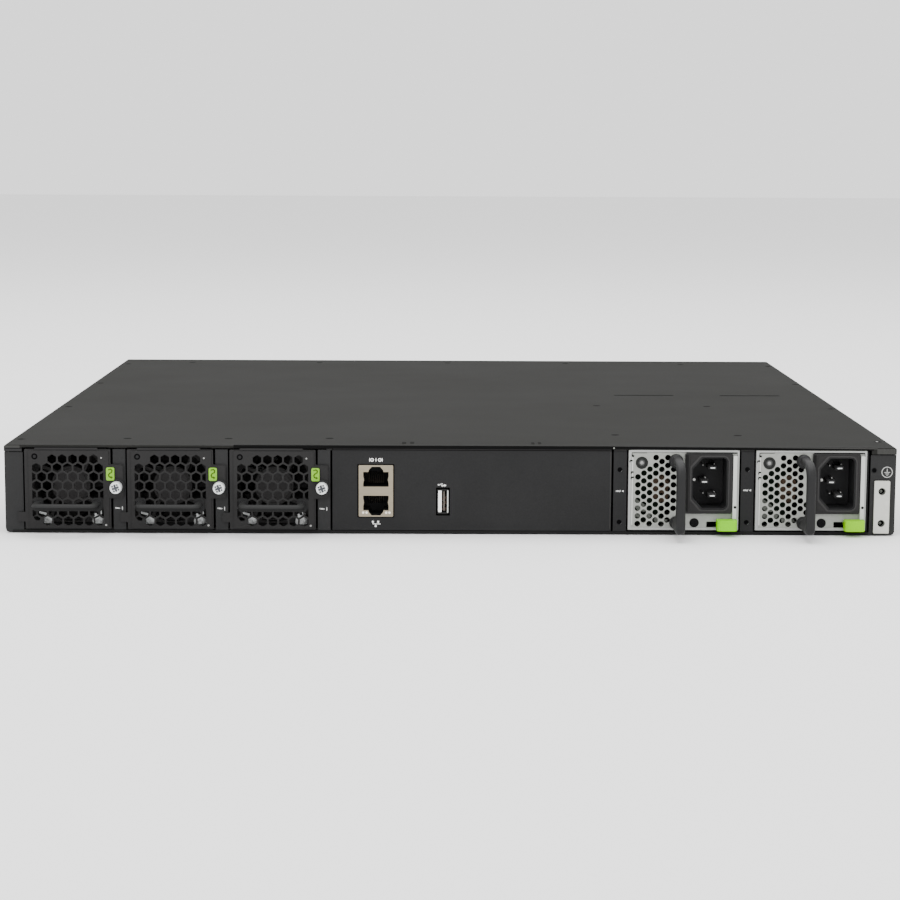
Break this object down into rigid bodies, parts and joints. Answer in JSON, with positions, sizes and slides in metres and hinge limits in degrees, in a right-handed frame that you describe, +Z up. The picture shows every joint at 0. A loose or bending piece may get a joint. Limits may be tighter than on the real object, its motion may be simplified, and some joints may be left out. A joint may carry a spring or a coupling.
{
  "type": "rackmount network switch",
  "caption": "Flat one-unit rack switch with sliding fan trays, hot-swap power supplies with pull handles and release latches, management ports, and pluggable-optic cages.",
  "frame": {"origin": "middle of the bounding box at its base, which is the level the chassis stands on", "axes": "+Z up, -Y towards the fan and supply side, +Y towards the port side, +X to the right when the fan and supply side is faced"},
  "size_m": [0.44, 0.465, 0.0436],
  "materials": {
    "black_steel": "satin black powder coat",
    "cover_steel": "dark grey powder coat",
    "zinc_steel": "zinc-plated sheet",
    "nickel": "bright nickel plate",
    "jack_shield": "warm tin plate",
    "black_plastic": "fine-textured black",
    "fan_plastic": "moulded black",
    "green_plastic": "bright lime",
    "tag_green": "lime label plate",
    "board": "green laminate",
    "heatsink": "extruded",
    "pins": "nickel-plated brass",
    "lens": "clear milky"
  },
  "bodies": {
    "chassis": {"chassis_base": "black_steel", "top_cover": "cover_steel", "front_panel": "black_steel", "io_panel": "black_steel", "fan_cage": "black_steel", "psu_cage": "black_steel", "ground_pad": "nickel", "main_board": "board", "asic_heatsink": "heatsink", "cpu_board": "board", "cpu_heatsink": "heatsink", "fan_board": "board", "power_board": "board", "management_jack": "jack_shield", "usb_port": "nickel", "qsfp_cage_left": "zinc_steel", "qsfp_cage_right": "zinc_steel", "sfp_cage": "zinc_steel", "status_light_pipe": "lens"},
    "fan_module_1": {"fan1_grille": "black_steel", "fan1_tray": "black_steel", "fan1_frame": "fan_plastic", "fan1_handle": "black_steel", "fan1_tag": "tag_green"},
    "fan1_rotor_body": {"fan1_rotor": "fan_plastic"},
    "fan1_screw_body": {"fan1_thumbscrew": "nickel"},
    "fan_module_2": {"fan2_grille": "black_steel", "fan2_tray": "black_steel", "fan2_frame": "fan_plastic", "fan2_handle": "black_steel", "fan2_tag": "tag_green"},
    "fan2_rotor_body": {"fan2_rotor": "fan_plastic"},
    "fan2_screw_body": {"fan2_thumbscrew": "nickel"},
    "fan_module_3": {"fan3_grille": "black_steel", "fan3_tray": "black_steel", "fan3_frame": "fan_plastic", "fan3_handle": "black_steel", "fan3_tag": "tag_green"},
    "fan3_rotor_body": {"fan3_rotor": "fan_plastic"},
    "fan3_screw_body": {"fan3_thumbscrew": "nickel"},
    "power_supply_1": {"psu1_case": "zinc_steel", "psu1_face": "zinc_steel", "psu1_inlet": "black_plastic", "psu1_inlet_pins": "pins", "psu1_handle": "black_plastic", "psu1_led": "lens", "psu1_fan_frame": "fan_plastic", "psu1_board": "board"},
    "psu1_latch_body": {"psu1_latch": "green_plastic"},
    "psu1_fan_rotor_body": {"psu1_fan_rotor": "fan_plastic"},
    "power_supply_2": {"psu2_case": "zinc_steel", "psu2_face": "zinc_steel", "psu2_inlet": "black_plastic", "psu2_inlet_pins": "pins", "psu2_handle": "black_plastic", "psu2_led": "lens", "psu2_fan_frame": "fan_plastic", "psu2_board": "board"},
    "psu2_latch_body": {"psu2_latch": "green_plastic"},
    "psu2_fan_rotor_body": {"psu2_fan_rotor": "fan_plastic"}
  },
  "joints": [
    {"name": "fan_module_1_slide", "type": "slide", "parent": "chassis", "child": "fan_module_1", "axis": [0, -1, 0], "range_m": [0, 0.075]},
    {"name": "fan1_rotor_spin", "type": "hinge", "parent": "fan_module_1", "child": "fan1_rotor_body", "pos_m": [-0.1888, -0.1845, 0.0222], "axis": [0, 1, 0], "continuous": true},
    {"name": "fan1_thumbscrew_turn", "type": "hinge", "parent": "fan_module_1", "child": "fan1_screw_body", "pos_m": [-0.1642, -0.2075, 0.0235], "axis": [0, 1, 0], "continuous": true},
    {"name": "fan_module_2_slide", "type": "slide", "parent": "chassis", "child": "fan_module_2", "axis": [0, -1, 0], "range_m": [0, 0.075]},
    {"name": "fan2_rotor_spin", "type": "hinge", "parent": "fan_module_2", "child": "fan2_rotor_body", "pos_m": [-0.1383, -0.1845, 0.0222], "axis": [0, 1, 0], "continuous": true},
    {"name": "fan2_thumbscrew_turn", "type": "hinge", "parent": "fan_module_2", "child": "fan2_screw_body", "pos_m": [-0.1137, -0.2075, 0.0235], "axis": [0, 1, 0], "continuous": true},
    {"name": "fan_module_3_slide", "type": "slide", "parent": "chassis", "child": "fan_module_3", "axis": [0, -1, 0], "range_m": [0, 0.075]},
    {"name": "fan3_rotor_spin", "type": "hinge", "parent": "fan_module_3", "child": "fan3_rotor_body", "pos_m": [-0.0878, -0.1845, 0.0222], "axis": [0, 1, 0], "continuous": true},
    {"name": "fan3_thumbscrew_turn", "type": "hinge", "parent": "fan_module_3", "child": "fan3_screw_body", "pos_m": [-0.0632, -0.2075, 0.0235], "axis": [0, 1, 0], "continuous": true},
    {"name": "power_supply_1_slide", "type": "slide", "parent": "chassis", "child": "power_supply_1", "axis": [0, -1, 0], "range_m": [0, 0.24]},
    {"name": "psu1_latch_press", "type": "slide", "parent": "power_supply_1", "child": "psu1_latch_body", "axis": [-1, 0, 0], "range_m": [0, 0.0045], "stiffness_N_per_m": 900, "springref_m": -0.003},
    {"name": "psu1_fan_rotor_spin", "type": "hinge", "parent": "power_supply_1", "child": "psu1_fan_rotor_body", "pos_m": [0.1092, -0.1725, 0.0222], "axis": [0, 1, 0], "continuous": true},
    {"name": "power_supply_2_slide", "type": "slide", "parent": "chassis", "child": "power_supply_2", "axis": [0, -1, 0], "range_m": [0, 0.24]},
    {"name": "psu2_latch_press", "type": "slide", "parent": "power_supply_2", "child": "psu2_latch_body", "axis": [-1, 0, 0], "range_m": [0, 0.0045], "stiffness_N_per_m": 900, "springref_m": -0.003},
    {"name": "psu2_fan_rotor_spin", "type": "hinge", "parent": "power_supply_2", "child": "psu2_fan_rotor_body", "pos_m": [0.1722, -0.1725, 0.0222], "axis": [0, 1, 0], "continuous": true}
  ]
}
